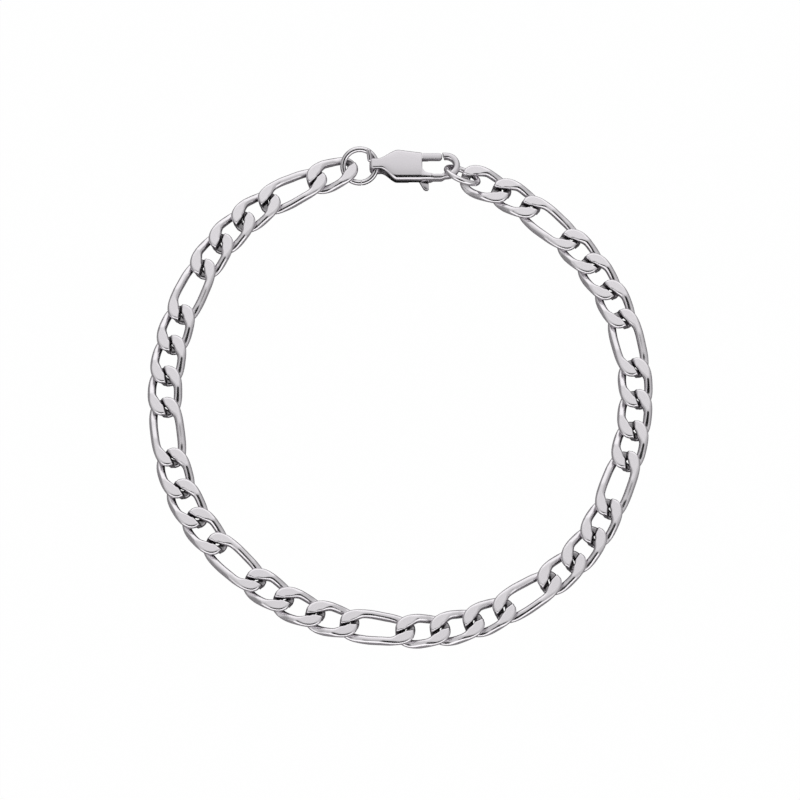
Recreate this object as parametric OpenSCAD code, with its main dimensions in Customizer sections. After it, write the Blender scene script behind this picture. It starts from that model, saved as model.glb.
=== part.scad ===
// Link bracelet lying flat in a loop: twisted wire links pressed flat, one long link to
// three short ones, closed by a lobster clasp with a sprung lever. Millimetres, +Z up,
// the origin under the middle of the loop on the surface that the bracelet lies on.
// The clasp lies along +X on the far side of the loop, with its eye to the left.

/* [Chain] */
// Thickness of the wire that the links are bent from
wire_d = 1.25; // [1.15:0.01:1.3]
// Width of a link across the chain
link_w = 4.95; // [4.85:0.05:5.2]
// Length that one short link adds to the chain
short_pitch = 4.7; // [4.6:0.05:5.1]
// Length that one long link adds to the chain
long_pitch = 7.5; // [7:0.05:8.5]
// Thickness of the chain, where its links are pressed flat
chain_t = 1.66; // [1.6:0.02:1.9]
// Twist of a link from its middle to each end, in degrees
link_twist = 46; // [44:1:50]
// Play in the chain where one link holds the next
link_play = 0.25; // [0.22:0.01:0.3]
// Number of links, in groups of one long and three short
link_count = 36; // [32:4:44]

/* [Rings] */
// Outer diameter of the two rings
ring_d = 5.5; // [5.4:0.05:5.6]
// Wire thickness of the two rings
ring_wire = 0.8; // [0.7:0.02:0.84]
// Opening left at the split of the jump ring
ring_split = 0.08; // [0.04:0.01:0.15]

/* [Clasp] */
// Length of the clasp from its eye to the bend of its hook
clasp_l = 12.7; // [12.4:0.05:13.2]
// Height of the clasp's top face above the surface it lies on
clasp_top = 2.75; // [2.7:0.05:2.9]
// Thickness of the clasp's body
body_t = 2.5; // [2.4:0.05:2.6]
// Width of the body at its widest
body_w = 4.2; // [4:0.05:4.4]
// Length of the body's wide part, up to its straight front edge
body_l = 6.1; // [5.9:0.05:6.2]
// Clear length of the hook's window
window_l = 4.4; // [4.3:0.05:4.6]
// Width of the hook's bar, seen from above
hook_w = 0.95; // [0.85:0.02:1.05]
// Height of the hook's back bar
hook_t = 1.75; // [1.55:0.05:1.85]
// Height of the hook's bend and tip
tip_t = 1.15; // [1.1:0.05:1.2]
// Distance between the hook's back bar and its tip, centre to centre
hook_span = 3; // [2.9:0.05:3.1]
// Width of the eye across the clasp
eye_w = 1.5; // [1.4:0.05:1.6]
// Width of the hole through the eye
eye_hole = 1.14; // [1.1:0.02:1.2]
// Height of the hole through the eye
eye_hole_h = 1.7; // [1.6:0.05:1.8]
// Wall at the end of the eye
eye_wall = 0.3; // [0.25:0.01:0.4]

/* [Lever] */
// Length of the gate bar that closes the hook
gate_l = 2.8; // [2.6:0.05:2.85]
// Width of the gate bar
gate_w = 1; // [0.8:0.02:1.05]
// Height of the gate bar
gate_t = 1.15; // [1:0.05:1.3]
// Thickness of the lever's tongue inside the body
tongue_t = 0.6; // [0.5:0.02:0.64]
// How far the thumb tab stands out from the body
tab_l = 1.25; // [1:0.05:1.5]
// Width of the thumb tab where it leaves the body
tab_w = 1.2; // [1:0.05:1.25]
// Diameter of the rivet that the lever turns on
pin_d = 0.8; // [0.7:0.02:0.9]
// Running clearance round the rivet and beside the tongue
run_gap = 0.05; // [0.04:0.005:0.06]

/* [Hidden] */
$fn = 48;
steel = [0.80, 0.80, 0.81];
overlap = 0.1;  // depth that a cut or a joining block runs past its surface

// Chain: the links' shape and the way that they share the route
link_sides = 6;       // sides of the wire
short_rings = 16;     // sections round a short link
long_rings = 20;      // sections round a long link
short_square = 0.8;   // 1 is an ellipse, smaller is squarer
long_square = 0.7;
link_half_w = (link_w - wire_d) / 2;
link_end = (wire_d + link_play) / 2;  // from a hinge to the wire's centre in the bend

// Middle line of the chain, from the jump ring round to the end ring, seen from above.
// After the first point, each one is the middle of every second link.
route = [
    [-7.25, 34.75], [-15.25, 31.75], [-23.5, 25.25], [-29, 16.25], [-32, 5.5],
    [-32, -5.25], [-29, -16], [-22.5, -24.5], [-13.75, -31], [-3, -34],
    [7.75, -33.75], [17.25, -29.25], [25, -22.5], [29.75, -13], [32.25, -2.75],
    [31.75, 8], [27.75, 18], [21, 26.25], [12.25, 32.5], [9.75, 33]
];
route_links = 36;  // links in the chain when its route was chosen
route_steps = 8;   // straight pieces drawn between two points of the route

// Clasp: places along it, measured from the outer end of its eye
front_x = clasp_l - hook_w - window_l;
shoulder_x = front_x - body_l;
shoulder_far = 3.3;    // length of the shoulder on the hook tip's side
shoulder_near = 2.9;   // length of the shoulder on the thumb tab's side
front_far_y = 0.78 * body_w / 2;
near_y = -body_w / 2;
body_z = clasp_top - body_t;
eye_x = eye_wall + eye_hole / 2;
bend_r = hook_span / 2;
bend = [clasp_l - hook_w / 2 - bend_r, near_y + hook_w / 2 - 0.1 + bend_r];
hook_top = clasp_top - 0.1;
root_l = 1.15;         // length of the hook's thick root in front of the body
root_fillet = 0.7;
bar_bevel_low = 0.4;   // bevels along the hook's bar
bar_bevel_top = 0.34;

// Clasp: the lever, its rivet and the slot that it turns in
pivot = [front_x - 1.15, 0];
hub_r = 1.2;
tongue_z = body_z + 0.45;
slot_far_y = front_far_y - 0.22;
pin_top = body_z + 1.65;
gate_x = front_x + 0.05;
gate_y = bend[1] + bend_r + 0.02;
gate_z = tongue_z + tongue_t - 0.15;
gate_reach = norm([gate_x + gate_l - gate_w / 2, gate_y] - pivot) + gate_w / 2;
tip_gap = 0.14;        // gap between the gate's end and the hook's tip
tab_right = front_x + 0.95;

// Rings: each one's tilt from lying flat, and the direction of its lowest point
ring_r = (ring_d - ring_wire) / 2;
jump_tilt = 22.8;
jump_turn = -101;
jump_at = [eye_x - ring_r + 0.12, 0.17];
jump_z = ring_wire / 2 + ring_r * sin(jump_tilt);
end_tilt = 49.7;
end_turn = 60.4;
end_at = bend + [2.26, -1.48];
end_z = ring_wire / 2 + ring_r * sin(end_tilt);
split_turn = 16;       // where the jump ring's split is, from its lowest point
eye_hole_z = jump_z + 0.17;

// Eye's curled end, a short rod that lies over the jump ring
curl_d = 0.64;
curl_from = [0.1, 0.55, 2.4];
curl_to = [-0.14, 2.2, 3.1];

function two(n) = n < 10 ? str("0", n) : str(n);
link_names = [for (i = [1 : link_count]) str("link_", two(i))];

// A long link is the second of each four
function is_long(i) = i % 4 == 1;
function pitch(i) = is_long(i) ? long_pitch : short_pitch;
function reach(n) = n <= 0 ? 0 : reach(n - 1) + pitch(n - 1);
chain_l = reach(link_count);

// Smooth curve through a list of points
function curve_point(a, b, c, d, t) =
    0.5 * (2 * b + (c - a) * t + (2 * a - 5 * b + 4 * c - d) * t * t
        + (3 * b - a - 3 * c + d) * t * t * t);
function before(p, i) = i > 0 ? p[i - 1] : 2 * p[0] - p[1];
function after(p, i) = i < len(p) - 2 ? p[i + 2] : 2 * p[len(p) - 1] - p[len(p) - 2];
function curve(p) = [
    for (i = [0 : len(p) - 2], k = [0 : route_steps - 1])
        curve_point(before(p, i), p[i], p[i + 1], after(p, i), k / route_steps),
    p[len(p) - 1]
];
function lengths(p) = [
    for (i = 0, s = 0; i < len(p); i = i + 1, s = s + (i < len(p) ? norm(p[i] - p[i - 1]) : 0)) s
];

// The route, its two ends brought to the rings and its depth drawn out or in until the
// chain fits along it
start_off = [-1.61, -0.32];  // first hinge from the middle of the jump ring
end_off = [1.05, -0.05];     // last hinge from the middle of the end ring
clasp_at = route[0] - jump_at - start_off;
end_shift = clasp_at + end_at + end_off - route[len(route) - 1];
function fitted(k) = [
    for (i = [0 : len(route) - 1])
        [route[i][0], route[0][1] + k * (route[i][1] - route[0][1])]
            + end_shift * i / (len(route) - 1)
];
function route_length(k) = let (s = lengths(curve(fitted(k)))) s[len(s) - 1];
function depth(low, high, n) = let (mid = (low + high) / 2)
    n == 0 ? mid : route_length(mid) < chain_l ? depth(mid, high, n - 1) : depth(low, mid, n - 1);
line = curve(fitted(depth(0.5, 2, 14)));
line_at = lengths(line);
x_along = [for (i = [0 : len(line) - 1]) [line_at[i], line[i][0]]];
y_along = [for (i = [0 : len(line) - 1]) [line_at[i], line[i][1]]];

// Hinges between the links: between two points of the route they share the way evenly
stations = [
    [0, 0],
    for (i = [1 : len(route) - 2])
        [(reach(2 * i - 1) + pitch(2 * i - 1) / 2) / reach(route_links), line_at[i * route_steps]],
    [1, line_at[len(line_at) - 1]]
];
hinges = [
    for (i = [0 : link_count])
        let (s = lookup(reach(i) / chain_l, stations)) [lookup(s, x_along), lookup(s, y_along)]
];

// One link: its wire runs round a squarish ring that is twisted from its middle to its
// ends, and what stands out above and below is pressed flat
function power(v, e) = sign(v) * pow(abs(v), e);
function wire_at(a, e, t) =
    let (x = power(cos(t), e), s = link_half_w * power(sin(t), e), turn = -link_twist * x)
        [a * x, s * cos(turn), s * sin(turn)];
function unit(v) = v / norm(v);
function pressed(p) = [p[0], p[1], max(0, min(chain_t, p[2] + chain_t / 2))];
function section(a, e, t) =
    let (
        c = wire_at(a, e, t),
        along = unit(wire_at(a, e, t + 0.5) - wire_at(a, e, t - 0.5)),
        up = unit([0, 0, 1] - along[2] * along),
        side = cross(along, up)
    ) [
        for (k = [0 : link_sides - 1])
            let (g = 360 * k / link_sides) pressed(c + wire_d / 2 * (cos(g) * side + sin(g) * up))
    ];
function link_rings(i) = is_long(i) ? long_rings : short_rings;
function link_points(i) =
    let (n = link_rings(i), e = is_long(i) ? long_square : short_square)
        [for (j = [0 : n - 1]) each section(pitch(i) / 2 + link_end, e, 360 * j / n)];
function link_faces(n) = [
    for (j = [0 : n - 1], k = [0 : link_sides - 1])
        let (
            a = j * link_sides + k,
            b = j * link_sides + (k + 1) % link_sides,
            c = (j + 1) % n * link_sides + (k + 1) % link_sides,
            d = (j + 1) % n * link_sides + k
        ) each [[a, b, c], [a, c, d]]
];
function link_middle(i) = (hinges[i] + hinges[i + 1]) / 2;
function link_turn(i) = let (d = hinges[i + 1] - hinges[i]) atan2(d[1], d[0]);
function turned(p, g) = [p[0] * cos(g) - p[1] * sin(g), p[0] * sin(g) + p[1] * cos(g)];

// Middle of the whole bracelet seen from above, from what reaches out farthest
outline = [
    for (i = [0 : link_count - 1], p = link_points(i)) link_middle(i) + turned(p, link_turn(i))
];
jump_reach = ring_r * norm([cos(jump_turn), cos(jump_tilt) * sin(jump_turn)]) + ring_wire / 2;
far_edge = clasp_at[1] + jump_at[1] + jump_reach;
middle = [
    (min([for (p = outline) p[0]]) + max([for (p = outline) p[0]])) / 2,
    (min([for (p = outline) p[1]]) + max(far_edge, max([for (p = outline) p[1]]))) / 2
];

module chain_link(i) {
    color(steel)
        translate(link_middle(i) - middle)
            rotate(link_turn(i))
                polyhedron(link_points(i), link_faces(link_rings(i)));
}

// Puts a piece drawn in the clasp's own place where the clasp lies
module on_clasp() {
    translate(clasp_at - middle)
        children();
}

module wire_ring(tilt, turn, z, gap) {
    gap_angle = gap / ring_r * 180 / PI;
    translate([0, 0, z])
        rotate([0, tilt, turn])
            rotate(split_turn + gap_angle / 2)
                rotate_extrude(angle = 360 - gap_angle)
                    translate([ring_r, 0])
                        circle(d = ring_wire);
}

module jump_ring() {
    color(steel)
        on_clasp()
            translate(jump_at)
                wire_ring(jump_tilt, jump_turn, jump_z, ring_split);
}

module end_ring() {
    color(steel)
        on_clasp()
            translate(end_at)
                wire_ring(end_tilt, end_turn, end_z, 0);
}

// Body seen from above: a narrow eye, rounded shoulders and a straight front edge
function ease(t) = t * t * (3 - 2 * t);
module body_shape() {
    rise = body_w / 2 - eye_w / 2;
    polygon([
        [0, eye_w / 2],
        for (k = [0 : 10]) [shoulder_x + shoulder_far * k / 10, eye_w / 2 + rise * ease(k / 10)],
        [front_x, front_far_y],
        [front_x, near_y],
        for (k = [10 : -1 : 0])
            [shoulder_x + shoulder_near * k / 10, -eye_w / 2 - rise * ease(k / 10)],
        [0, -eye_w / 2]
    ]);
}

// Thick root of the hook's back bar, with its fillet to the front edge
module root_shape() {
    inner_y = bend[1] - bend_r + hook_w / 2 + 0.05;
    translate([front_x - overlap, near_y])
        square([root_l + overlap, inner_y - near_y]);
    difference() {
        translate([front_x - overlap, inner_y - overlap])
            square([root_fillet + overlap, root_fillet + overlap]);
        translate([front_x + root_fillet, inner_y + root_fillet])
            circle(r = root_fillet);
    }
}

// Section of the hook's bar, its middle at 0 and its top at the hook's top
module bar_section(h) {
    w = hook_w / 2;
    polygon([
        [-w, hook_top - bar_bevel_top], [-w, hook_top - h + bar_bevel_low],
        [-w + bar_bevel_low, hook_top - h], [w - bar_bevel_low, hook_top - h],
        [w, hook_top - h + bar_bevel_low], [w, hook_top - bar_bevel_top],
        [w - bar_bevel_top, hook_top], [-w + bar_bevel_top, hook_top]
    ]);
}

module hook_bar() {
    // Back bar
    translate([front_x + overlap, bend[1] - bend_r, 0])
        rotate([90, 0, 90])
            linear_extrude(bend[0] - front_x - overlap)
                bar_section(hook_t);
    // Bend, and the tip with its end cut clear of the gate's swing
    difference() {
        translate(bend) {
            rotate(-90)
                rotate_extrude(angle = 180)
                    translate([bend_r, 0])
                        bar_section(tip_t);
            translate([-bend_r, bend_r, 0])
                rotate([90, 0, 90])
                    linear_extrude(bend_r)
                        bar_section(tip_t);
        }
        translate(pivot)
            linear_extrude(2 * clasp_top)
                circle(r = gate_reach + tip_gap);
    }
}

// Room for the lever's tongue, open at the front and at the near side
module slot_shape() {
    translate(pivot)
        circle(r = hub_r + run_gap);
    translate([pivot[0] - 0.7, near_y - overlap])
        square([front_x + root_l - pivot[0] + 0.7, slot_far_y - near_y + overlap]);
}

module clasp_body() {
    slot_h = tongue_t + 2 * run_gap;
    color(steel)
        on_clasp()
            difference() {
                union() {
                    translate([0, 0, body_z])
                        linear_extrude(body_t) {
                            body_shape();
                            root_shape();
                        }
                    hook_bar();
                    eye_curl();
                }
                // Hole through the eye
                translate([eye_x, 0, eye_hole_z])
                    cube([eye_hole, 2 * eye_w, eye_hole_h], center = true);
                translate([0, 0, tongue_z - run_gap])
                    linear_extrude(slot_h)
                        slot_shape();
                translate([pivot[0], pivot[1], body_z - overlap])
                    cylinder(d = pin_d + 2 * run_gap, h = pin_top - body_z + overlap + run_gap);
            }
}

module eye_curl() {
    way = curl_to - curl_from;
    translate(curl_from)
        rotate([0, acos(way[2] / norm(way)), atan2(way[1], way[0])])
            cylinder(d = curl_d, h = norm(way), $fn = 16);
}

// Flat part of the lever: the hub, the arm under the gate bar and the thumb tab
module tongue_shape() {
    translate(pivot)
        circle(r = hub_r);
    polygon([
        [pivot[0], hub_r - 0.05],
        [pivot[0], 0],
        [front_x - 0.05, 0],
        [front_x + 0.9, gate_y - gate_w / 2 + 0.1],
        [front_x + 0.9, slot_far_y - 0.07],
        [front_x - 0.3, slot_far_y - 0.07]
    ]);
    polygon([
        pivot + [-0.95, -0.7],
        [tab_right - tab_w, near_y - 0.1],
        [tab_right - 0.7, near_y - tab_l + 0.15],
        [tab_right - 0.5, near_y - tab_l],
        [tab_right - 0.25, near_y - tab_l],
        [tab_right - 0.1, near_y - tab_l + 0.15],
        [tab_right, near_y],
        [tab_right - 0.1, near_y + 0.3],
        [front_x + 0.2, near_y + 0.95],
        [front_x - 0.05, near_y + 1.4],
        [front_x - 0.05, 0.2],
        pivot
    ]);
}

module clasp_lever() {
    color(steel)
        on_clasp() {
            difference() {
                translate([0, 0, tongue_z])
                    linear_extrude(tongue_t)
                        tongue_shape();
                translate([pivot[0], pivot[1], 0])
                    cylinder(d = pin_d + 2 * run_gap, h = clasp_top);
            }
            translate([gate_x, gate_y, gate_z])
                linear_extrude(gate_t) {
                    translate([0, -gate_w / 2])
                        square([gate_l - gate_w / 2, gate_w]);
                    translate([gate_l - gate_w / 2, 0])
                        circle(d = gate_w);
                }
        }
}

module clasp_pin() {
    color(steel)
        on_clasp()
            translate([pivot[0], pivot[1], body_z + run_gap])
                cylinder(d = pin_d, h = pin_top - body_z - run_gap);
}

for (i = [0 : link_count - 1]) {
    chain_link(i);
}
jump_ring();
end_ring();
clasp_body();
clasp_lever();
clasp_pin();
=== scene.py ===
"""Link bracelet of polished steel, lying flat in a loop, seen from above and a little in front.

The links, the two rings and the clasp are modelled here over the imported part. Sizes are in
millimetres in the drawing functions and become metres when a piece is placed.
"""

from math import atan2, cos, hypot, pi, radians, sin, sqrt, tan

import bmesh
import bpy
from mathutils import Matrix, Vector


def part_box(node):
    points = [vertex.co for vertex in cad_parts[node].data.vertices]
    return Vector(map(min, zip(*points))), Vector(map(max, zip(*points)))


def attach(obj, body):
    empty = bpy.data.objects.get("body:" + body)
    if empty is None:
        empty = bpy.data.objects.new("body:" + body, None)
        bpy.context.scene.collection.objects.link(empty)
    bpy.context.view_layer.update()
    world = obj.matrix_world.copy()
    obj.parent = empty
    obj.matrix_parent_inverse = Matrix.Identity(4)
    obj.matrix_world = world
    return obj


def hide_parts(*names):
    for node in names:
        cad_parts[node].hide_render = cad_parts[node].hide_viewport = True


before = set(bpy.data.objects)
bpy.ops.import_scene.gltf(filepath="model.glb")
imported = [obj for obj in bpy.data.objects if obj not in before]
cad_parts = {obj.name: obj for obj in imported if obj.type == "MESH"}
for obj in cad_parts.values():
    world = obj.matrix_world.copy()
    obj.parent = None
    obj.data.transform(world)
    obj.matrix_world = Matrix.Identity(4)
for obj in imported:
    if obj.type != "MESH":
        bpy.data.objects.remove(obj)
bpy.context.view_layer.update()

mm = 0.001
scene = bpy.context.scene

# Chain: the sizes of a link
link_w = 4.75
chain_t = 1.66
wire_d = 1.25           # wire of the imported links, and the play in their joints
link_play = 0.25
short_pitch = 4.7       # length that one link adds to the chain
long_pitch = 7.5
short_l = short_pitch + 2 * wire_d + link_play
long_l = long_pitch + 2 * wire_d + link_play
short_power = 2.5       # squareness of the outline, where 2 is an ellipse
long_power = 2.857
hinge_in = 1.375        # from the end of a link to the middle of its joint with the next one

# Chain: the wire of a link
strand_w = 1.16         # in the middle of the link
strand_h = 1.3
strand_flat = 0.06      # half of the flat left on a strand
bow_w = 1.35            # in the bend at the end of the link
bow_reach_low = 0.9     # how far that width reaches along the lower wire, and the upper
bow_reach_up = 0.6
lobe_w = 1.66           # where it is pressed flat over the next link
lobe_h = 0.8
lobe_l = 1.7            # from the link's end to where the wire thickens, over as much again
twist_in = 1.9          # from the link's end to where its twist is full
square_in = 3.2         # from the link's end to where its edges begin to be pressed square
square_run = 1.5
inner_round = 0.26      # rounding of a lobe toward the hole, and toward the outside
outer_round = 0.38
width_soft = 0.12       # softness of the change from a strand's width to a lobe's

# Chain: the slanting line between two neighbouring lobes
slant = radians(33)     # from the chain's middle line
tip_slant = radians(14)
half_gap = 0.07         # from that line to the wall of a lobe
line_soft = 0.05        # rounding of the line where it crosses the chain's middle
line_shift = 0.25       # how far the step in height stands aside past the joint
shift_run = 0.6
shift_most = 0.6
step_run = 0.3          # from the top of a lobe's end down to the lower wire
step_before = 0.3       # share of that run that lies before the line

# Chain: the painted shade deep in each joint
joint_shade_strength = 0.8       # how dark the painted shade is, where 1 is fully so
recess_r = 1.8          # how far it reaches from the middle of the joint
recess_fade = 0.8
recess_half_h = 0.5     # half the height of the band of painted shade, and what its core adds
core_half_h = 0.3
core_r = 0.8
core_fade = 0.4
recess_edge = 0.15      # fade at the band's upper and lower edges

# Chain: steps of its meshes
wire_round_steps = 8    # a quarter of the way round the wire: over the rounding and the flat
wire_flat_steps = 6
link_sides = 4 * (wire_round_steps + wire_flat_steps)
short_rings = 112
long_rings = 136
spun_r = 3              # radius of the plain ring that is drawn out into a link

# Rings
ring_wire = 0.8
ring_r = 2.35
ring_split = 0.08
split_turn = radians(16)
split_ease = 0.03       # eased edges of the two ends at the split
ring_sides = 28
ring_steps = 96

# Clasp, counted from the outer end of its eye on its middle line
clasp_place = Matrix.Translation((-4.3108 * mm, 34.3791 * mm, 0))
body_low = 0.25
body_top = 2.75
body_crown = 0.13       # swelling of the flat top
eye_w = 1.5
eye_round = 0.52
eye_radii = (0.28, 0.25, 0.35, 0.35)    # corners of the section at the eye, and of the body
body_radii = (0.7, 0.4, 0.9, 1.3)
body_grow_x = 1         # where the eye's section begins to grow into the body's
body_grow = 2.5
shoulder_far_x = 1.05   # where each shoulder starts, and how long it is
shoulder_far = 3.0
shoulder_near_x = 1.5
shoulder_near = 2.35
far_y = 2.2             # widest place, and the far end of the front edge
front_far_y = 1.74
near_y = 2.42
front_x = 7.35
front_ease = 0.07       # eased front edge, from here to the far side
front_free_y = -0.6

# Clasp: its holes, each from and to along x, y and z
eye_hole = ((0.3, 1.44), (-1.6, 1.6), (0.631, 2.331))
eye_hole_round = 0.2
slot_z = (0.65, 1.35)
lever_slot = ((5.5, 8.5), (-3.2, 1.418), slot_z)
pivot_x = 6.2
hub_room_r = 1.25       # room for the lever's hub, and the hole for the rivet
pin_hole_r = 0.45
pin_hole_z = (0.1, 1.95)

# Clasp: the hook
bend_x = 10.725
bend_y = -0.225
bend_r = 1.5
bar_half_w = 0.45       # round bar of the bend and the tip
bar_low = 1.52
bar_top = 2.65
bar_round = 0.37
back_y = bend_r - bend_y    # from the clasp's middle line to the middle of the back bar
back_left = -0.1        # back bar: its sides from its middle, its foot and its corners
back_right = 0.66
back_low = 0.8
back_radii = (0.42, 0.16, 0.28, 0.95)
back_run = 0.45         # from the root to the back bar
back_end = 10.0         # where the back bar begins to turn into the round bar
root_end = 8.55         # thick root of the back bar, and the fillet to the front edge
root_far_y = 1.5
root_fillet = 1.15
root_radii = (0.6, 0.1, 0.2, 1.3)
root_crown = 0.06
root_drop = 0.04        # from the body's top down to the root's
root_inset = 0.01       # from the body's near side and underside in to the root's
root_in = 0.06          # how far the root starts inside the body
tip_reach = 4.372       # from the pivot to the tip, clear of the gate's swing
tip_round = 0.34
tip_insets = (0.0, 0.03, 0.09)  # rings that round the tip's end
tip_drawn = 0.3         # from the bend to those rings before the tip is cut

# Clasp: the curl of wire beside its eye
curl_foot = Vector((0.06, 0.62, 2.45))
curl_end = Vector((-0.16, 2.0, 3.05))
curl_r = 0.34
curl_short = 0.3        # what the round end takes off its length

# Lever
gate_start = 7.4
gate_end = 10.2
gate_y = 1.295
gate_w = 0.94
gate_low = 1.4
gate_top = 2.3
gate_radii = (0.1, 0.16, 0.12, 0.12)
gate_crown = 0.055
gate_lift = 0.1         # how far the rounded end's foot rises, and its top sinks
gate_sink = 0.12
gate_steps = 10         # along the gate, and round its end
gate_end_steps = 8
gate_end_turn = pi / 2 / 8.6
tongue_cut = 1.1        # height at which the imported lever's gate is taken off
tongue_top = 1.3
arm_top = 1.45          # arm from the tongue to the gate
arm_x = 7.2
arm_y = 0.8
arm_near_y = 1.12
tab_y = -2.15           # where the thumb tab begins, its middle, and how it spreads and droops
tab_x = 7.68
tab_spread = 1.2
tab_droop = 0.2
tongue_ease = 0.09      # eased edges of the tongue

# Clasp and lever: steps of their bars, a quarter of the way round, and the sharpest smooth edge
corner_steps = 8
side_steps = 2          # on each side of a corner
bar_sides = 4 * (corner_steps + 2 * side_steps)
crease = radians(38)


# ---------------------------------------------------------------- steel

patch_size = 420        # soft patches of polish, in patches to the metre
# Colour of the painted shade deep in the chain's joints
painted_joint_shade_colour = (0.13, 0.125, 0.13, 1)
hair_stretch = (900, 9000, 9000)
hair_turn = radians(35)
hair_depth = 0.000004


def steel(name, tone=0.8, gloss=0.2, brushing=0.25):
    """Polished steel with a faint brushing, soft patches of polish, and painted shade deep in
    the joints.
    """
    material = bpy.data.materials.new(name)
    material.use_nodes = True
    nodes = material.node_tree.nodes
    links = material.node_tree.links
    shader = nodes["Principled BSDF"]
    shader.inputs["Metallic"].default_value = 1.0
    place = nodes.new("ShaderNodeTexCoord")

    # Patches of duller and brighter polish
    patches = nodes.new("ShaderNodeTexNoise")
    patches.inputs["Scale"].default_value = patch_size
    patches.inputs["Detail"].default_value = 4
    links.new(place.outputs["Object"], patches.inputs["Vector"])
    dullness = nodes.new("ShaderNodeMapRange")
    dullness.inputs["From Min"].default_value = 0.3
    dullness.inputs["From Max"].default_value = 0.7
    dullness.inputs["To Min"].default_value = gloss - 0.04
    dullness.inputs["To Max"].default_value = gloss + 0.05
    links.new(patches.outputs["Fac"], dullness.inputs["Value"])
    links.new(dullness.outputs["Result"], shader.inputs["Roughness"])

    # Slight change of tone from one patch to the next
    tones = nodes.new("ShaderNodeMixRGB")
    tones.inputs["Color1"].default_value = (tone - 0.03, tone - 0.055, tone - 0.026, 1)
    tones.inputs["Color2"].default_value = (tone + 0.02, tone - 0.005, tone + 0.022, 1)
    links.new(patches.outputs["Fac"], tones.inputs["Fac"])

    # Painted shade darkening the colour deep in the joints of the chain
    painted_joint_shade = nodes.new("ShaderNodeAttribute")
    painted_joint_shade.attribute_name = "painted_joint_shade"
    joint_shaded = nodes.new("ShaderNodeMixRGB")
    joint_shaded.inputs["Color2"].default_value = painted_joint_shade_colour
    links.new(painted_joint_shade.outputs["Fac"], joint_shaded.inputs["Fac"])
    links.new(tones.outputs["Color"], joint_shaded.inputs["Color1"])
    links.new(joint_shaded.outputs["Color"], shader.inputs["Base Color"])

    # Hair-fine brushing
    stretch = nodes.new("ShaderNodeMapping")
    stretch.inputs["Scale"].default_value = hair_stretch
    stretch.inputs["Rotation"].default_value = (0, 0, hair_turn)
    links.new(place.outputs["Object"], stretch.inputs["Vector"])
    hairs = nodes.new("ShaderNodeTexNoise")
    hairs.inputs["Scale"].default_value = 1
    hairs.inputs["Detail"].default_value = 2
    links.new(stretch.outputs["Vector"], hairs.inputs["Vector"])
    relief = nodes.new("ShaderNodeBump")
    relief.inputs["Strength"].default_value = brushing
    relief.inputs["Distance"].default_value = hair_depth
    links.new(hairs.outputs["Fac"], relief.inputs["Height"])
    links.new(relief.outputs["Normal"], shader.inputs["Normal"])
    return material


link_steel = steel("link steel", tone=0.785)
ring_steel = steel("ring steel", gloss=0.16)
clasp_steel = steel("clasp steel", tone=0.695, gloss=0.18)


# ---------------------------------------------------------------- what the pieces share


def place_piece(name, bm, material, body, stands_for, place):
    """Turns a mesh drawn in millimetres into a finished piece at its place in the frame."""
    bmesh.ops.remove_doubles(bm, verts=bm.verts, dist=0.0005)
    bmesh.ops.recalc_face_normals(bm, faces=bm.faces)
    bmesh.ops.transform(bm, matrix=place @ Matrix.Scale(mm, 4), verts=bm.verts)
    mesh = bpy.data.meshes.new(name)
    bm.to_mesh(mesh)
    bm.free()
    mesh.shade_smooth()
    mesh.materials.append(material)
    piece = bpy.data.objects.new(name, mesh)
    scene.collection.objects.link(piece)
    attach(piece, body)
    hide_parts(stands_for)
    return piece


def ease(t):
    """Rises softly from 0 to 1 as t does, and stays level outside."""
    t = max(0.0, min(1.0, t))
    return t * t * (3 - 2 * t)


def mix(a, b, t):
    return a + (b - a) * t


def standing_circle(bm, from_middle, radius, sides):
    """A circle standing on edge beside the middle, ready to be spun into a ring."""
    upright = Matrix.Translation((from_middle, 0, 0)) @ Matrix.Rotation(pi / 2, 4, "X")
    start = bmesh.ops.create_circle(bm, segments=sides, radius=radius, matrix=upright)
    return start["verts"] + bm.edges[:]


def close_ends(bm):
    """Closes each open end with a face, and gives those faces."""
    open_edges = [e for e in bm.edges if e.is_boundary]
    return bmesh.ops.holes_fill(bm, edges=open_edges, sides=0)["faces"]


def ease_edges(bm, edges, offset, segments):
    bmesh.ops.bevel(bm, geom=edges, offset=offset, segments=segments, profile=0.5,
                    affect="EDGES", material=-1)


def sharpen(piece):
    piece.data.set_sharp_from_angle(angle=crease)


# ---------------------------------------------------------------- chain


def rim(turn, length, power):
    """Outer edge of a link seen from above: a squarish ring."""
    f = (abs(cos(turn)) ** power + abs(sin(turn)) ** power) ** (-1 / power)
    return Vector((length / 2 * cos(turn) * f, link_w / 2 * sin(turn) * f, 0))


def smooth_max(a, b, soft):
    return (a + b + hypot(a - b, soft)) / 2


def wire_shape(edge, outward, length):
    """Width of the wire, and how far its edges are pressed square.

    The upper wire reaches in to the slanting line of the joint, where the lobes meet."""
    from_end = length / 2 - abs(edge.x)
    if edge.x * edge.y > 0:
        by_bow = 1 - ease(abs(edge.y) / bow_reach_low)
        return strand_w + (bow_w - strand_w) * by_bow, by_bow
    room = hypot(edge.y, line_soft) + (hinge_in - from_end) * tan(slant) - half_gap / cos(slant)
    room /= abs(outward.y) + abs(outward.x) * tan(slant)
    width = -smooth_max(-smooth_max(room, strand_w, width_soft), -lobe_w, width_soft)
    by_bow = 1 - ease(abs(edge.y) / bow_reach_up)
    return width + (bow_w - width) * by_bow, ease((square_in - from_end) / square_run)


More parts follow.
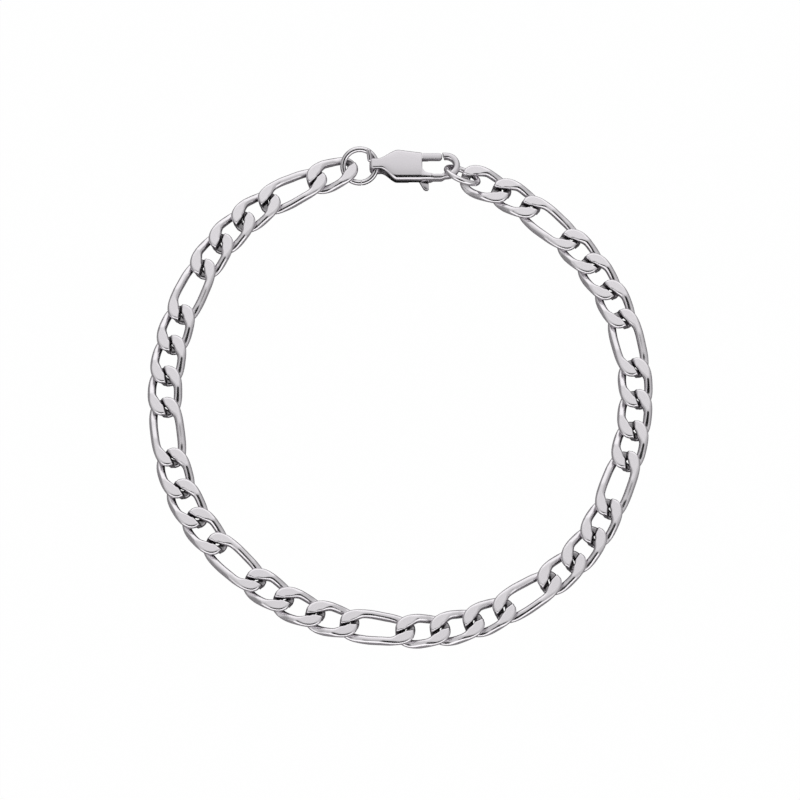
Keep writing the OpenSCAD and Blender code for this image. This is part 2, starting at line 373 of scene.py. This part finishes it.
def levels(x, y, length):
    """Heights of the wire's underside and top at a place of the link."""
    if x > 0:
        x, y = -x, -y
    from_end = length / 2 + x
    twist = (chain_t - lobe_h) / 2 * sin(pi / 2 * min(1, -x / (length / 2 - twist_in)))
    half_h = lobe_h / 2 + (strand_h - lobe_h) / 2 * ease((from_end - lobe_l) / lobe_l)
    past_hinge = from_end - hinge_in
    line = past_hinge * tan(slant if past_hinge > 0 else tip_slant)
    line -= line_shift * ease((past_hinge + shift_run / 2) / shift_run)
    line = min(shift_most, line)
    over = ease((y - line) * cos(slant) / step_run + step_before)
    under = ease((-y - line) * cos(slant) / step_run + step_before)
    top = min(chain_t, chain_t / 2 + twist * (2 * over - 1) + half_h)
    low = max(0, chain_t / 2 - twist * (2 * under - 1) - half_h)
    return low, top


def painted_joint_shade_at(place, length):
    """How much painted shade a place of the link gets by how deep it lies in a joint, from 0
    for open steel.
    """
    from_joint = hypot(length / 2 - hinge_in - abs(place.x), place.y)
    half_h = recess_half_h + core_half_h * ease((core_r - from_joint) / core_fade)
    depth = ease((half_h - abs(place.z - chain_t / 2)) / recess_edge)
    return joint_shade_strength * depth * ease((recess_r - from_joint) / recess_fade)


def wire_quarter(step):
    """Part of the rounding across, part of the flat across, and height, at a step of the
    quarter of the wire from its side to its top."""
    angle = pi / 2 * min(step, wire_round_steps) / wire_round_steps
    to_top = wire_round_steps + wire_flat_steps - step
    return cos(angle), min(1, to_top / wire_flat_steps), sin(angle)


def link_mesh(length, power, rings):
    """One link: a ring of wire, drawn out, twisted and pressed flat above and below."""
    bm = bmesh.new()
    wire = standing_circle(bm, spun_r, 1, link_sides)
    bmesh.ops.spin(bm, geom=wire, axis=(0, 0, 1), cent=(0, 0, 0), angle=2 * pi, steps=rings,
                   use_merge=True)
    # Each point keeps how much painted shade it gets deep in the joints
    painted_joint_shade = bm.verts.layers.float.new("painted_joint_shade")
    for v in bm.verts:
        turn = atan2(v.co.y, v.co.x)
        outside = hypot(v.co.x, v.co.y) - spun_r
        step = round(atan2(abs(v.co.z), abs(outside)) / (2 * pi / link_sides))
        round_part, flat_part, height = wire_quarter(step)
        edge = rim(turn, length, power)
        along = (rim(turn + 0.01, length, power) - rim(turn - 0.01, length, power)).normalized()
        outward = Vector((along.y, -along.x, 0))
        width, pressed = wire_shape(edge, outward, length)
        side_round = outer_round if outside > 0 else inner_round
        rounding = (width / 2 - strand_flat) * (1 - pressed) + side_round * pressed
        across = rounding * round_part + (width / 2 - rounding) * flat_part
        place = edge + outward * ((across if outside > 0 else -across) - width / 2)
        low, top = levels(place.x, place.y, length)
        place.z = (low + top) / 2 + (top - low) / 2 * (height if v.co.z > 0 else -height)
        v.co = place
        v[painted_joint_shade] = painted_joint_shade_at(place, length)
    return bm


def is_long(number):
    """One link in four is long, beginning with the second."""
    return number % 4 == 1


link_nodes = sorted(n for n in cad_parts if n.startswith("link_"))
link_lengths = [long_l if is_long(number) else short_l for number in range(len(link_nodes))]
link_middles = [sum(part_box(node), Vector()) / 2 for node in link_nodes]


def joint_before(number):
    """Middle of the joint between a link and the one before it."""
    half = link_lengths[number] / 2 - hinge_in
    half_before = link_lengths[number - 1] / 2 - hinge_in
    share = half_before / (half + half_before)
    return link_middles[number - 1].lerp(link_middles[number], share)


def lay_of(number):
    """Where a link lies: its middle, and its direction from one joint to the next."""
    middle = link_middles[number]
    start = joint_before(number) if number > 0 else middle
    end = joint_before(number + 1) if number + 1 < len(link_nodes) else middle
    way = end - start
    turned = Matrix.Rotation(atan2(way.y, way.x), 4, "Z")
    return Matrix.Translation((middle.x, middle.y, 0)) @ turned


short_link = link_mesh(short_l, short_power, short_rings)
long_link = link_mesh(long_l, long_power, long_rings)
for number, node in enumerate(link_nodes):
    drawn = long_link if is_long(number) else short_link
    place_piece(node + "_wire", drawn.copy(), link_steel, "bracelet", node,
                lay_of(number))
short_link.free()
long_link.free()


# ---------------------------------------------------------------- rings


def wire_ring(split):
    """A ring of round wire about the middle, lying flat, its ends closed where it is split."""
    bm = bmesh.new()
    wire = standing_circle(bm, ring_r, ring_wire / 2, ring_sides)
    if not split:
        bmesh.ops.spin(bm, geom=wire, axis=(0, 0, 1), cent=(0, 0, 0), angle=2 * pi,
                       steps=ring_steps, use_merge=True)
        return bm
    open_angle = split / ring_r
    bmesh.ops.spin(bm, geom=wire, axis=(0, 0, 1), cent=(0, 0, 0), angle=2 * pi - open_angle,
                   steps=ring_steps)
    rims = list({e for f in close_ends(bm) for e in f.edges})
    ease_edges(bm, rims, split_ease, 2)
    turned = Matrix.Rotation(split_turn + open_angle / 2, 3, "Z")
    bmesh.ops.rotate(bm, cent=(0, 0, 0), matrix=turned, verts=bm.verts)
    return bm


def ring_place(x, y, z, tilt, turn):
    """Place of a ring's middle by the clasp, and its lean and turn in degrees."""
    leaning = Matrix.Rotation(radians(turn), 4, "Z") @ Matrix.Rotation(radians(tilt), 4, "Y")
    return clasp_place @ Matrix.Translation(Vector((x, y, z)) * mm) @ leaning


place_piece("jump_ring_wire", wire_ring(ring_split), ring_steel, "bracelet",
            "jump_ring", ring_place(-1.36, 0.17, 1.311, 22.8, -101))
place_piece("end_ring_wire", wire_ring(0), ring_steel, "bracelet",
            "end_ring", ring_place(bend_x + 2.26, bend_y - 1.48, 2.192, 49.7, 60.4))


# ---------------------------------------------------------------- clasp


def rounded_bar_point(step, left, right, low, top, radii, crown=0.0):
    """Point of a bar's section, counted from the middle of its right side and upwards.

    The radii are those of the corners at the right top, left top, left foot and right foot."""
    quarter, step = divmod(step, bar_sides // 4)
    middle = Vector(((left + right) / 2, (low + top) / 2))
    r = radii[quarter]
    round_corner = max(0, min(corner_steps, step - side_steps)) / corner_steps
    turn = pi / 2 * (quarter + round_corner)
    centre = Vector((right - r if quarter in (0, 3) else left + r,
                     top - r if quarter < 2 else low + r))
    point = centre + Vector((cos(turn), sin(turn))) * r
    sides = (Vector((right, middle.y)), Vector((middle.x, top)),
             Vector((left, middle.y)), Vector((middle.x, low)))
    past_corner = step - side_steps - corner_steps
    if step < side_steps:
        point = sides[quarter].lerp(point, step / side_steps)
    elif past_corner > 0:
        point = point.lerp(sides[(quarter + 1) % 4], past_corner / side_steps)
    across = (point.x - middle.x) / (right - left) * 2
    point.y -= crown * across * across * max(0, (point.y - middle.y) / (top - middle.y))
    return point


def drawn_bar(stations):
    """A closed bar through its stations: where each is, which way its right side lies, and
    its section."""
    bm = bmesh.new()
    start = bmesh.ops.create_circle(bm, segments=bar_sides, radius=1)
    ring = start["verts"] + bm.edges[:]
    bmesh.ops.spin(bm, geom=ring, axis=(0, 0, 1), cent=(0, 0, 0), dvec=(0, 0, 1), angle=0,
                   steps=len(stations) - 1)
    for v in bm.verts:
        place, outward, section = stations[round(v.co.z)]
        step = round(atan2(v.co.y, v.co.x) / (2 * pi / bar_sides)) % bar_sides
        point = rounded_bar_point(step, *section)
        v.co = (place[0] + outward[0] * point.x, place[1] + outward[1] * point.x, point.y)
    close_ends(bm)
    return bm


def plate_section(x, inset=0.0):
    """Section of the clasp's body: its right side is the near one."""
    widest = shoulder_far_x + shoulder_far
    far = eye_w / 2 + (far_y - eye_w / 2) * ease((x - shoulder_far_x) / shoulder_far)
    far = min(far, mix(far_y, front_far_y, (x - widest) / (front_x - widest)))
    near = eye_w / 2 + (near_y - eye_w / 2) * ease((x - shoulder_near_x) / shoulder_near)
    grown = ease((x - body_grow_x) / body_grow)
    radii = [mix(a, b, grown) for a, b in zip(eye_radii, body_radii)]
    return (-far + inset, near - inset, body_low + inset, body_top - inset, radii,
            body_crown * grown)


def clasp_plate():
    """The clasp's eye and body in one, up to the straight front edge."""
    stations = []
    for k in range(7):
        turn = pi / 2 * k / 6
        x = eye_round * (1 - cos(turn))
        stations.append(((x, 0), (0, -1), plate_section(x, eye_round * (1 - sin(turn)))))
    for k in range(1, 41):
        x = mix(eye_round, front_x, k / 40)
        stations.append(((x, 0), (0, -1), plate_section(x)))
    bm = drawn_bar(stations)
    front = [e for e in bm.edges if all(v.co.x > front_x - 0.001 for v in e.verts)]
    free = [e for e in front if (e.verts[0].co.y + e.verts[1].co.y) / 2 > front_free_y]
    ease_edges(bm, free, front_ease, 3)
    return bm


def hook_bar():
    """Root of the hook, its back bar, the bend and the tip."""
    stations = []
    root_right = near_y - root_inset - back_y
    root_low = body_low + root_inset
    for k in range(16):
        x = mix(front_x - root_in, root_end, k / 15)
        past = max(0.0, min(root_fillet, x - front_x))
        far = root_far_y - root_fillet + sqrt(root_fillet ** 2 - (root_fillet - past) ** 2)
        section = (far - back_y, root_right, root_low, body_top - root_drop, root_radii,
                   root_crown)
        stations.append(((x, -back_y), (0, -1), section))
    for k in range(1, 25):
        x = mix(root_end, bend_x, k / 24)
        out = ease((x - root_end) / back_run)
        in_hook = ease((x - back_end) / (bend_x - back_end))
        left = mix(mix(root_far_y - back_y, back_left, out), -bar_half_w, in_hook)
        right = mix(mix(root_right, back_right, out), bar_half_w, in_hook)
        low = mix(mix(root_low, back_low, out), bar_low, in_hook)
        radii = [mix(mix(a, b, out), bar_round, in_hook)
                 for a, b in zip(root_radii, back_radii)]
        stations.append(((x, -back_y), (0, -1), (left, right, low, bar_top, radii)))
    round_bar = (-bar_half_w, bar_half_w, bar_low, bar_top, (bar_round,) * 4)
    for k in range(1, 33):
        turn = -pi / 2 + pi * k / 32
        outward = (cos(turn), sin(turn))
        place = (bend_x + outward[0] * bend_r, bend_y + outward[1] * bend_r)
        stations.append((place, outward, round_bar))
    for inset in tip_insets:
        section = (-bar_half_w + inset, bar_half_w - inset, bar_low + inset, bar_top - inset,
                   (tip_round,) * 4)
        stations.append(((bend_x - tip_drawn, bend_y + bend_r), (0, 1), section))
    bm = drawn_bar(stations)
    # Tip cut on a curve about the pivot, clear of the gate
    for v in bm.verts:
        if v.co.y > 0 and v.co.x < bend_x - 0.2:
            v.co.x = pivot_x + sqrt(tip_reach ** 2 - v.co.y ** 2)
    return bm


def cut(piece, *tools):
    """Takes the tools' shapes out of a piece and throws the tools away."""
    for bm in tools:
        bmesh.ops.recalc_face_normals(bm, faces=bm.faces)
        bmesh.ops.transform(bm, matrix=clasp_place @ Matrix.Scale(mm, 4), verts=bm.verts)
        mesh = bpy.data.meshes.new("tool")
        bm.to_mesh(mesh)
        bm.free()
        tool = bpy.data.objects.new("tool", mesh)
        scene.collection.objects.link(tool)
        taken = piece.modifiers.new("cut", "BOOLEAN")
        taken.operation = "DIFFERENCE"
        taken.solver = "EXACT"
        taken.object = tool
        bpy.context.view_layer.update()
        seen = piece.evaluated_get(bpy.context.evaluated_depsgraph_get())
        whole = bpy.data.meshes.new_from_object(seen)
        piece.modifiers.clear()
        piece.data = whole
        bpy.data.objects.remove(tool)
        bpy.data.meshes.remove(mesh)
    piece.data.shade_smooth()
    sharpen(piece)


def block(x, y, z, rounding=0):
    """A block from and to along x, y and z."""
    bm = bmesh.new()
    bmesh.ops.create_cube(bm, size=1)
    bmesh.ops.scale(bm, vec=(x[1] - x[0], y[1] - y[0], z[1] - z[0]), verts=bm.verts)
    middle = (sum(x) / 2, sum(y) / 2, sum(z) / 2)
    bmesh.ops.translate(bm, vec=middle, verts=bm.verts)
    if rounding:
        ease_edges(bm, bm.edges[:], rounding, 4)
    return bm


def disc(radius, z):
    """A round block about the lever's pivot."""
    bm = bmesh.new()
    bmesh.ops.create_cone(bm, cap_ends=True, segments=64, radius1=radius, radius2=radius,
                          depth=z[1] - z[0])
    bmesh.ops.translate(bm, vec=(pivot_x, 0, sum(z) / 2), verts=bm.verts)
    return bm


def eye_curl():
    """Short curl of wire that stands up beside the eye, with a round end."""
    bm = bmesh.new()
    bmesh.ops.create_uvsphere(bm, u_segments=28, v_segments=16, radius=curl_r)
    for v in bm.verts:
        if v.co.z > 0:
            v.co.z += (curl_end - curl_foot).length - curl_short
    way = (curl_end - curl_foot).to_track_quat("Z", "Y").to_matrix()
    bmesh.ops.rotate(bm, cent=(0, 0, 0), matrix=way, verts=bm.verts)
    bmesh.ops.translate(bm, vec=curl_foot, verts=bm.verts)
    return bm


plate = place_piece("clasp_plate", clasp_plate(), clasp_steel, "bracelet",
                    "clasp_body", clasp_place)
cut(plate, block(*eye_hole, eye_hole_round), disc(hub_room_r, slot_z), block(*lever_slot),
    disc(pin_hole_r, pin_hole_z))
hook = place_piece("clasp_hook", hook_bar(), clasp_steel, "bracelet",
                   "clasp_body", clasp_place)
cut(hook, block(*lever_slot))
place_piece("clasp_curl", eye_curl(), clasp_steel, "bracelet", "clasp_body",
            clasp_place)


# ---------------------------------------------------------------- lever and rivet


def all_of(bm):
    return bm.verts[:] + bm.edges[:] + bm.faces[:]


def lever_tongue():
    """The flat part of the lever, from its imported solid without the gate, its edges eased."""
    bm = bmesh.new()
    bm.from_mesh(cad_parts["clasp_lever"].data)
    drawn = (clasp_place @ Matrix.Scale(mm, 4)).inverted()
    bmesh.ops.transform(bm, matrix=drawn, verts=bm.verts)
    bmesh.ops.remove_doubles(bm, verts=bm.verts, dist=0.001)
    bmesh.ops.bisect_plane(bm, geom=all_of(bm), plane_co=(0, 0, tongue_cut),
                           plane_no=(0, 0, 1), clear_outer=True)
    close_ends(bm)
    bmesh.ops.dissolve_limit(bm, angle_limit=radians(2), verts=bm.verts, edges=bm.edges)
    bmesh.ops.bisect_plane(bm, geom=all_of(bm), plane_co=(front_x - 0.02, 0, 0),
                           plane_no=(1, 0, 0))
    for v in bm.verts:
        if v.co.z > tongue_cut - 0.05:
            v.co.z = arm_top if v.co.x > arm_x and v.co.y > arm_y else tongue_top
        if v.co.x > front_x - 0.03 and 0 < v.co.y < arm_near_y:
            v.co.y = arm_near_y
        if v.co.y < tab_y:
            v.co.x = tab_x + (v.co.x - tab_x) * tab_spread
            v.co.z += (v.co.y - tab_y) * tab_droop
    bmesh.ops.recalc_face_normals(bm, faces=bm.faces)
    rims = [e for e in bm.edges if len(e.link_faces) == 2 and e.calc_face_angle() > radians(60)]
    ease_edges(bm, rims, tongue_ease, 3)
    return bm


def gate_bar():
    """The gate that closes the hook's mouth, with a round end."""
    stations = []
    for k in range(gate_steps + gate_end_steps + 1):
        straight = gate_end - gate_w / 2 - gate_start
        turn = gate_end_turn * max(0, k - gate_steps)
        x = gate_start + straight * min(1, k / gate_steps) + gate_w / 2 * sin(turn)
        half = gate_w / 2 * cos(turn)
        low = gate_low + gate_lift * (1 - cos(turn))
        top = gate_top - gate_sink * (1 - cos(turn))
        radii = [min(r, half * 0.95) for r in gate_radii]
        stations.append(((x, gate_y), (0, -1), (-half, half, low, top, radii, gate_crown)))
    return drawn_bar(stations)


sharpen(place_piece("lever_tongue", lever_tongue(), clasp_steel, "lever",
                    "clasp_lever", clasp_place))
sharpen(place_piece("lever_gate", gate_bar(), clasp_steel, "lever",
                    "clasp_lever", clasp_place))
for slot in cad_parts["clasp_pin"].material_slots:
    slot.material = ring_steel


# ---------------------------------------------------------------- picture


def above_near_side(degrees_up):
    """Direction of the surroundings on the near side, where the camera stands."""
    return (0, -cos(radians(degrees_up)), sin(radians(degrees_up)))


# Light of the surroundings: its level, and the areas laid over it in turn. Each has a
# direction, its half angle and its fade in degrees, a stretch, and its brightness.
room_level = 0.7
room_areas = (
    ((0, 0.78, 0.62), 10, 40, (1, 1, 1), 0.98),         # soft light above the far side
    ((0, 1, 0.3), 15, 25, (0.5, 1, 1), 1.22),           # broad light low on the far side
    ((1, 0, 0.05), 35, 35, (1, 1, 1.6), 0.55),          # dim wall on the right
    ((-1, 0.2, 0.05), 30, 25, (1, 1, 1.6), 0.3),        # dimmer wall on the left
    (above_near_side(63), 27, 28, (0.8, 1, 1), 0.7),    # soft surround of the dark
    ((0, -1, 0.2), 30, 14, (0.48, 1, 1), 1.4),          # bright strip low on the near side
    (above_near_side(61), 24, 6, (0.95, 1, 1), 0.005),  # dark of the room behind the camera
)


def toward(nodes, links, direction, spread, soft, stretch=(1, 1, 1)):
    """Node output that is 1 near a direction of the surroundings and 0 away from it."""
    look = nodes.new("ShaderNodeTexCoord")
    narrow = nodes.new("ShaderNodeVectorMath")
    narrow.operation = "MULTIPLY"
    narrow.inputs[1].default_value = stretch
    links.new(look.outputs["Generated"], narrow.inputs[0])
    unit = nodes.new("ShaderNodeVectorMath")
    unit.operation = "NORMALIZE"
    links.new(narrow.outputs["Vector"], unit.inputs[0])
    dot = nodes.new("ShaderNodeVectorMath")
    dot.operation = "DOT_PRODUCT"
    dot.inputs[1].default_value = Vector(direction).normalized()
    links.new(unit.outputs["Vector"], dot.inputs[0])
    fade = nodes.new("ShaderNodeMapRange")
    fade.interpolation_type = "SMOOTHSTEP"
    fade.inputs["From Min"].default_value = cos(radians(spread + soft))
    fade.inputs["From Max"].default_value = cos(radians(spread))
    links.new(dot.outputs["Value"], fade.inputs["Value"])
    return fade.outputs["Result"]


def studio():
    """Soft light from all round, with the dark of the room behind the camera."""
    world = bpy.data.worlds.new("studio")
    world.use_nodes = True
    nodes = world.node_tree.nodes
    links = world.node_tree.links
    backing = nodes["Background"]
    backing.inputs["Color"].default_value = (1, 1, 1, 1)
    scene.world = world
    level = room_level
    for direction, spread, soft, stretch, brightness in room_areas:
        spot = toward(nodes, links, direction, spread, soft, stretch)
        blend = nodes.new("ShaderNodeMix")
        if isinstance(level, float):
            blend.inputs["A"].default_value = level
        else:
            links.new(level, blend.inputs["A"])
        blend.inputs["B"].default_value = brightness
        links.new(spot, blend.inputs["Factor"])
        level = blend.outputs["Result"]
    links.new(level, backing.inputs["Strength"])


# Floor: the paper as reflections see it, with a deep shade in front of the clasp, and the
# share of white in what the camera sees of it
floor_half = 1.5
paper_tone = (0.43, 0.42, 0.43, 1)
shade_tone = (0.03, 0.03, 0.03, 1)
clasp_shade = Vector((-0.9, 31.4, 0)) * mm
clasp_shade_size = Vector((6.0, 2.4, 1)) * mm
white_share = 0.995


def paper_floor():
    """Pale paper under the bracelet: white to the camera, mid grey in reflections."""
    bm = bmesh.new()
    bmesh.ops.create_grid(bm, x_segments=2, y_segments=2, size=floor_half)
    mesh = bpy.data.meshes.new("floor")
    bm.to_mesh(mesh)
    bm.free()
    floor = bpy.data.objects.new("floor", mesh)
    scene.collection.objects.link(floor)
    paper = bpy.data.materials.new("paper")
    paper.use_nodes = True
    nodes = paper.node_tree.nodes
    links = paper.node_tree.links
    shader = nodes["Principled BSDF"]
    shader.inputs["Roughness"].default_value = 0.9
    shader.inputs["Specular IOR Level"].default_value = 0

    # Deep shade in front of the clasp, which only reflections see
    place = nodes.new("ShaderNodeTexCoord")
    from_clasp = nodes.new("ShaderNodeMapping")
    from_clasp.vector_type = "TEXTURE"
    from_clasp.inputs["Location"].default_value = clasp_shade
    from_clasp.inputs["Scale"].default_value = clasp_shade_size
    links.new(place.outputs["Object"], from_clasp.inputs["Vector"])
    shade = nodes.new("ShaderNodeTexGradient")
    shade.gradient_type = "SPHERICAL"
    links.new(from_clasp.outputs["Vector"], shade.inputs["Vector"])
    tone = nodes.new("ShaderNodeValToRGB")
    tone.color_ramp.elements[0].position = 0.1
    tone.color_ramp.elements[0].color = paper_tone
    tone.color_ramp.elements[1].position = 0.35
    tone.color_ramp.elements[1].color = shade_tone
    links.new(shade.outputs["Fac"], tone.inputs["Fac"])
    links.new(tone.outputs["Color"], shader.inputs["Base Color"])

    # White where the camera looks straight at it
    glow = nodes.new("ShaderNodeEmission")
    glow.inputs["Strength"].default_value = 1.0
    ray = nodes.new("ShaderNodeLightPath")
    white = nodes.new("ShaderNodeMixShader")
    share = nodes.new("ShaderNodeMath")
    share.operation = "MULTIPLY"
    share.inputs[1].default_value = white_share
    links.new(ray.outputs["Is Camera Ray"], share.inputs[0])
    links.new(share.outputs["Value"], white.inputs["Fac"])
    links.new(shader.outputs["BSDF"], white.inputs[1])
    links.new(glow.outputs["Emission"], white.inputs[2])
    links.new(white.outputs["Shader"], nodes["Material Output"].inputs["Surface"])
    mesh.materials.append(paper)


studio()
paper_floor()

camera_aim = Vector((-0.0308, -0.5209, 0)) * mm
camera_lift = radians(67)
camera_away = 0.65
camera_data = bpy.data.cameras.new("camera")
camera_data.lens = 212.7
camera_data.sensor_width = 36
camera_data.clip_start = 0.01
camera = bpy.data.objects.new("camera", camera_data)
scene.collection.objects.link(camera)
camera.location = camera_aim + Vector((0, -cos(camera_lift), sin(camera_lift))) * camera_away
camera.rotation_euler = (pi / 2 - camera_lift, 0, 0)
scene.camera = camera
scene.view_settings.view_transform = "Standard"
